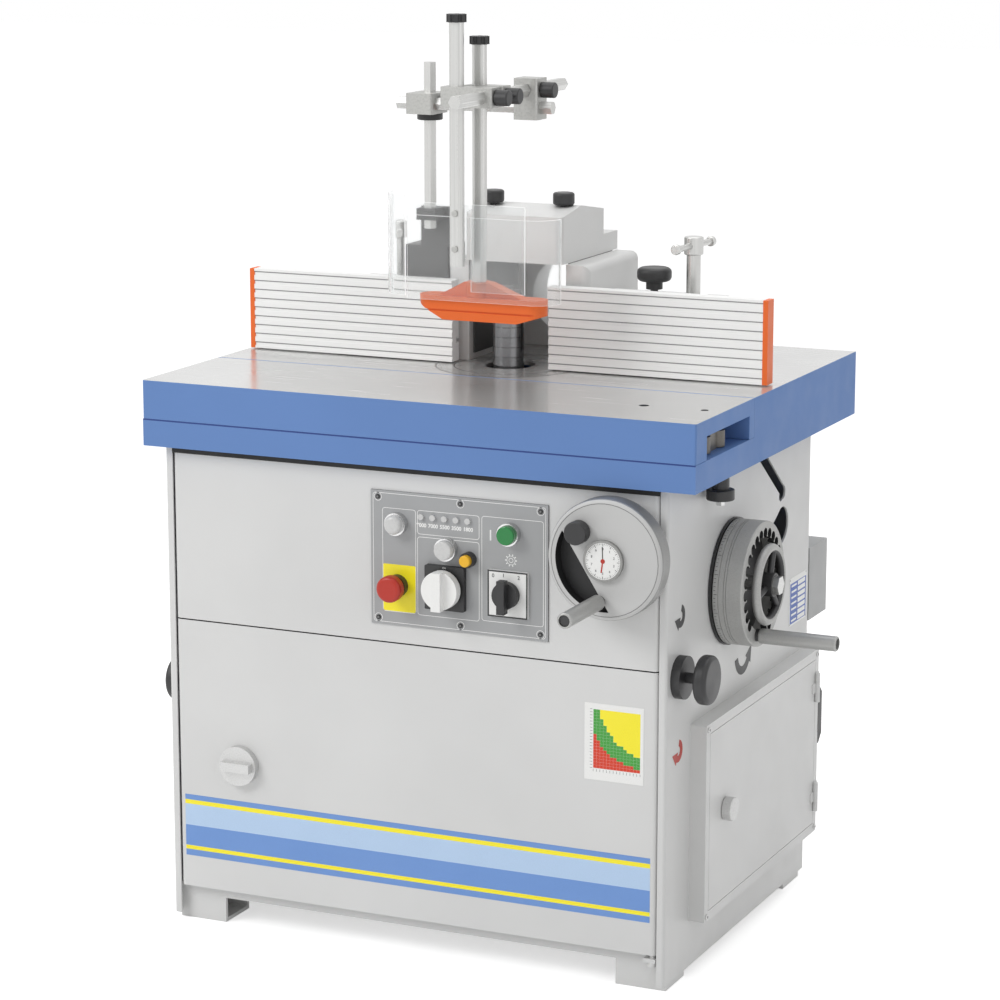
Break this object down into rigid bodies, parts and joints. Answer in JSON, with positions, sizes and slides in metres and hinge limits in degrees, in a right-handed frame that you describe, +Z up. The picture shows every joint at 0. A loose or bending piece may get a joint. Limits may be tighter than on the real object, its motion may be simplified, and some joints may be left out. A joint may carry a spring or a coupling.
{
  "type": "tilting spindle moulder",
  "caption": "Floor-standing spindle moulder with tilting spindle, sliding table, two-sided fence with hood, bar guard and handwheels on a sheet-metal cabinet.",
  "frame": {"origin": "floor level, centre of the four anchor holes, which is the centre of the cabinet", "axes": "+X to the operator's right along the table, +Y to the back, +Z up"},
  "size_m": [1.0603, 0.8983, 1.412],
  "materials": {
    "cabinet_paint": "satin light grey paint",
    "control_face": "satin grey face plate",
    "box_grey": "grey enclosure",
    "table_blue": "blue painted edges, ground top",
    "bare_steel": "turned and ground",
    "dark_steel": "blackened",
    "cast_iron": "machined casting",
    "bar_aluminium": "extruded",
    "wheel_grey": "cast and painted",
    "dial_white": "white dial",
    "black_plastic": "moulded",
    "switch_silver": "silver",
    "red_plastic": "moulded",
    "green_plastic": "moulded",
    "yellow_plastic": "moulded",
    "motor_paint": "grey paint",
    "belt_rubber": "ribbed belt",
    "fence_paint": "light grey paint",
    "clear_plastic": "clear sheet",
    "orange_plastic": "moulded"
  },
  "bodies": {
    "machine_base": {"side_panel_left": "cabinet_paint", "side_panel_right": "cabinet_paint", "rear_panel": "cabinet_paint", "rear_box": "box_grey", "base_frame": "cabinet_paint", "upper_front_panel": "cabinet_paint", "control_panel": "control_face", "main_table": "table_blue", "table_rings": "bare_steel", "tilt_guides": "cast_iron", "switch_box": "cabinet_paint", "hinge_pins": "bare_steel"},
    "front_door": {"front_door": "cabinet_paint"},
    "front_door_latch": {"front_door_latch": "bar_aluminium"},
    "switch_box_door": {"switch_box_door": "cabinet_paint"},
    "switch_box_latch": {"switch_box_latch": "bar_aluminium"},
    "emergency_stop": {"emergency_stop": "red_plastic"},
    "start_button": {"start_button": "green_plastic"},
    "reset_button": {"reset_button": "switch_silver"},
    "release_button": {"release_button": "yellow_plastic"},
    "main_switch_handle": {"main_switch_handle": "switch_silver"},
    "selector_knob": {"selector_knob": "black_plastic"},
    "left_clamp_knob": {"left_clamp_knob": "black_plastic"},
    "right_clamp_knob": {"right_clamp_knob": "black_plastic"},
    "tilt_wheel": {"tilt_handwheel": "wheel_grey", "tilt_worm_shaft": "bare_steel", "gravity_indicator": "dial_white"},
    "tilt_grip": {"tilt_grip": "wheel_grey"},
    "tilt_lock_knob": {"tilt_lock_knob": "black_plastic"},
    "tilt_cradle": {"tilt_cradle": "cast_iron"},
    "height_wheel": {"height_drum": "wheel_grey", "height_shaft": "bare_steel"},
    "height_grip": {"height_grip": "wheel_grey"},
    "height_lock_wheel": {"height_lock_wheel": "wheel_grey"},
    "height_screw": {"height_screw": "bare_steel"},
    "quill": {"quill_carriage": "cast_iron", "drive_motor": "motor_paint", "drive_belt": "belt_rubber"},
    "spindle": {"spindle": "bare_steel", "spacer_rings": "dark_steel"},
    "motor_pulley": {"motor_pulley": "dark_steel"},
    "sliding_table": {"sliding_table": "table_blue"},
    "fence": {"fence_casting": "fence_paint", "fence_fittings": "fence_paint", "extraction_hood": "fence_paint"},
    "fence_plate_left": {"fence_plate_left": "bar_aluminium"},
    "right_jaw": {"right_jaw": "fence_paint"},
    "fence_plate_right": {"fence_plate_right": "bar_aluminium"},
    "jaw_lock_knob": {"jaw_lock_knob": "black_plastic"},
    "clamp_screw_left": {"clamp_screw_left": "bare_steel"},
    "clamp_screw_right": {"clamp_screw_right": "bare_steel"},
    "tommy_bar_left": {"tommy_bar_left": "bare_steel"},
    "tommy_bar_right": {"tommy_bar_right": "bare_steel"},
    "guard_column": {"guard_column": "bare_steel"},
    "guard_x_bar": {"guard_x_bar": "bare_steel"},
    "guard_y_bar": {"guard_y_bar": "bare_steel"},
    "guard_bar_front": {"guard_bar_front": "bar_aluminium", "clear_shields": "clear_plastic"},
    "guard_bar_rear": {"guard_bar_rear": "bar_aluminium", "pressure_shoe": "orange_plastic"}
  },
  "joints": [
    {"name": "front_door_hinge", "type": "hinge", "parent": "machine_base", "child": "front_door", "pos_m": [0.392, -0.302, 0.27], "axis": [0, 0, 1], "range_deg": [0, 95]},
    {"name": "front_door_latch_turn", "type": "hinge", "parent": "front_door", "child": "front_door_latch", "pos_m": [-0.29, -0.31, 0.266], "axis": [0, 1, 0], "range_deg": [0, 90]},
    {"name": "switch_box_door_hinge", "type": "hinge", "parent": "machine_base", "child": "switch_box_door", "pos_m": [0.443, 0.2765, 0.235], "axis": [0, 0, 1], "range_deg": [0, 110]},
    {"name": "switch_box_latch_turn", "type": "hinge", "parent": "switch_box_door", "child": "switch_box_latch", "pos_m": [0.439, -0.1322, 0.24008], "axis": [-1, 0, 0], "range_deg": [0, 90]},
    {"name": "emergency_stop_press", "type": "slide", "parent": "machine_base", "child": "emergency_stop", "axis": [0, 1, 0], "range_m": [0, 0.004], "stiffness_N_per_m": 600},
    {"name": "start_button_press", "type": "slide", "parent": "machine_base", "child": "start_button", "axis": [0, 1, 0], "range_m": [0, 0.004], "stiffness_N_per_m": 600},
    {"name": "reset_button_press", "type": "slide", "parent": "machine_base", "child": "reset_button", "axis": [0, 1, 0], "range_m": [0, 0.004], "stiffness_N_per_m": 600},
    {"name": "release_button_press", "type": "slide", "parent": "machine_base", "child": "release_button", "axis": [0, 1, 0], "range_m": [0, 0.004], "stiffness_N_per_m": 600},
    {"name": "main_switch_turn", "type": "hinge", "parent": "machine_base", "child": "main_switch_handle", "pos_m": [0.06342, -0.32, 0.5821], "axis": [0, 1, 0], "range_deg": [0, 90]},
    {"name": "selector_turn", "type": "hinge", "parent": "machine_base", "child": "selector_knob", "pos_m": [0.16422, -0.32, 0.5821], "axis": [0, 1, 0], "range_deg": [-45, 45]},
    {"name": "left_clamp_turn", "type": "hinge", "parent": "machine_base", "child": "left_clamp_knob", "pos_m": [-0.44, -0.2, 0.36], "axis": [1, 0, 0], "range_deg": [-180, 180]},
    {"name": "right_clamp_turn", "type": "hinge", "parent": "machine_base", "child": "right_clamp_knob", "pos_m": [0.44, -0.265, 0.473], "axis": [1, 0, 0], "range_deg": [-180, 180]},
    {"name": "tilt", "type": "hinge", "parent": "machine_base", "child": "tilt_cradle", "pos_m": [0.011, 0.025, 0.86], "axis": [1, 0, 0], "range_deg": [0, 45]},
    {"name": "tilt_wheel_turn", "type": "hinge", "parent": "machine_base", "child": "tilt_wheel", "pos_m": [0.337, -0.34, 0.6595], "axis": [0, 1, 0], "range_deg": [-2, 2094.5]},
    {"name": "tilt_grip_spin", "type": "hinge", "parent": "tilt_wheel", "child": "tilt_grip", "pos_m": [0.33, -0.43, 0.599], "axis": [0, 1, 0], "continuous": true},
    {"name": "tilt_lock_turn", "type": "hinge", "parent": "tilt_wheel", "child": "tilt_lock_knob", "pos_m": [0.299, -0.375, 0.699], "axis": [0, 1, 0], "range_deg": [-180, 180]},
    {"name": "spindle_height", "type": "slide", "parent": "tilt_cradle", "child": "quill", "axis": [0, 0, 1], "range_m": [-0.05, 0.02]},
    {"name": "height_wheel_turn", "type": "hinge", "parent": "tilt_cradle", "child": "height_wheel", "pos_m": [0.44, -0.052, 0.571], "axis": [1, 0, 0], "range_deg": [-1802, 722]},
    {"name": "height_screw_turn", "type": "hinge", "parent": "tilt_cradle", "child": "height_screw", "pos_m": [0.11, -0.052, 0.62], "axis": [0, 0, 1], "range_deg": [-1802, 722]},
    {"name": "height_grip_spin", "type": "hinge", "parent": "height_wheel", "child": "height_grip", "pos_m": [0.53, -0.07701, 0.49712], "axis": [1, 0, 0], "continuous": true},
    {"name": "height_lock_turn", "type": "hinge", "parent": "height_wheel", "child": "height_lock_wheel", "pos_m": [0.474, -0.052, 0.571], "axis": [1, 0, 0], "range_deg": [-90, 90]},
    {"name": "spindle_spin", "type": "hinge", "parent": "quill", "child": "spindle", "pos_m": [0.011, 0.025, 0.7], "axis": [0, 0, 1], "continuous": true},
    {"name": "motor_spin", "type": "hinge", "parent": "quill", "child": "motor_pulley", "pos_m": [0.011, -0.18, 0.56], "axis": [0, 0, 1], "continuous": true},
    {"name": "sliding_table_travel", "type": "slide", "parent": "machine_base", "child": "sliding_table", "axis": [1, 0, 0], "range_m": [-0.3, 0.3]},
    {"name": "fence_travel", "type": "slide", "parent": "machine_base", "child": "fence", "axis": [0, 1, 0], "range_m": [-0.02, 0.045]},
    {"name": "left_plate_travel", "type": "slide", "parent": "fence", "child": "fence_plate_left", "axis": [1, 0, 0], "range_m": [-0.06, 0.035]},
    {"name": "right_jaw_travel", "type": "slide", "parent": "fence", "child": "right_jaw", "axis": [0, 1, 0], "range_m": [-0.01, 0.008]},
    {"name": "right_plate_travel", "type": "slide", "parent": "right_jaw", "child": "fence_plate_right", "axis": [1, 0, 0], "range_m": [-0.035, 0.06]},
    {"name": "jaw_lock_turn", "type": "hinge", "parent": "right_jaw", "child": "jaw_lock_knob", "pos_m": [0.2163, 0.12, 0.985], "axis": [0, 0, 1], "range_deg": [-180, 180]},
    {"name": "left_clamp_screw_turn", "type": "hinge", "parent": "machine_base", "child": "clamp_screw_left", "pos_m": [-0.228, 0.12, 0.95], "axis": [0, 0, 1], "range_deg": [-45, 0]},
    {"name": "right_clamp_screw_turn", "type": "hinge", "parent": "machine_base", "child": "clamp_screw_right", "pos_m": [0.281, 0.12, 0.95], "axis": [0, 0, 1], "range_deg": [0, 180]},
    {"name": "tommy_left_slide", "type": "slide", "parent": "clamp_screw_left", "child": "tommy_bar_left", "axis": [-0.4226, 0.9063, 0], "range_m": [-0.038, 0.038]},
    {"name": "tommy_right_slide", "type": "slide", "parent": "clamp_screw_right", "child": "tommy_bar_right", "axis": [0.0872, 0.9962, 0], "range_m": [-0.038, 0.038]},
    {"name": "guard_column_lift", "type": "slide", "parent": "fence", "child": "guard_column", "axis": [0, 0, 1], "range_m": [-0.04, 0.01]},
    {"name": "guard_x_travel", "type": "slide", "parent": "guard_column", "child": "guard_x_bar", "axis": [1, 0, 0], "range_m": [-0.03, 0.03]},
    {"name": "guard_reach", "type": "slide", "parent": "guard_x_bar", "child": "guard_y_bar", "axis": [0, 1, 0], "range_m": [-0.03, 0.05]},
    {"name": "front_bar_lift", "type": "slide", "parent": "guard_y_bar", "child": "guard_bar_front", "axis": [0, 0, 1], "range_m": [-0.04, 0.06]},
    {"name": "rear_bar_lift", "type": "slide", "parent": "guard_y_bar", "child": "guard_bar_rear", "axis": [0, 0, 1], "range_m": [-0.025, 0.05]}
  ],
  "couplings": [
    {"joint": "tilt_wheel_turn", "follows": "tilt", "ratio": 46.5},
    {"joint": "height_wheel_turn", "follows": "spindle_height", "rad_per_m": 628.32},
    {"joint": "height_screw_turn", "follows": "spindle_height", "rad_per_m": 628.32},
    {"joint": "motor_spin", "follows": "spindle_spin", "ratio": 0.88095}
  ]
}
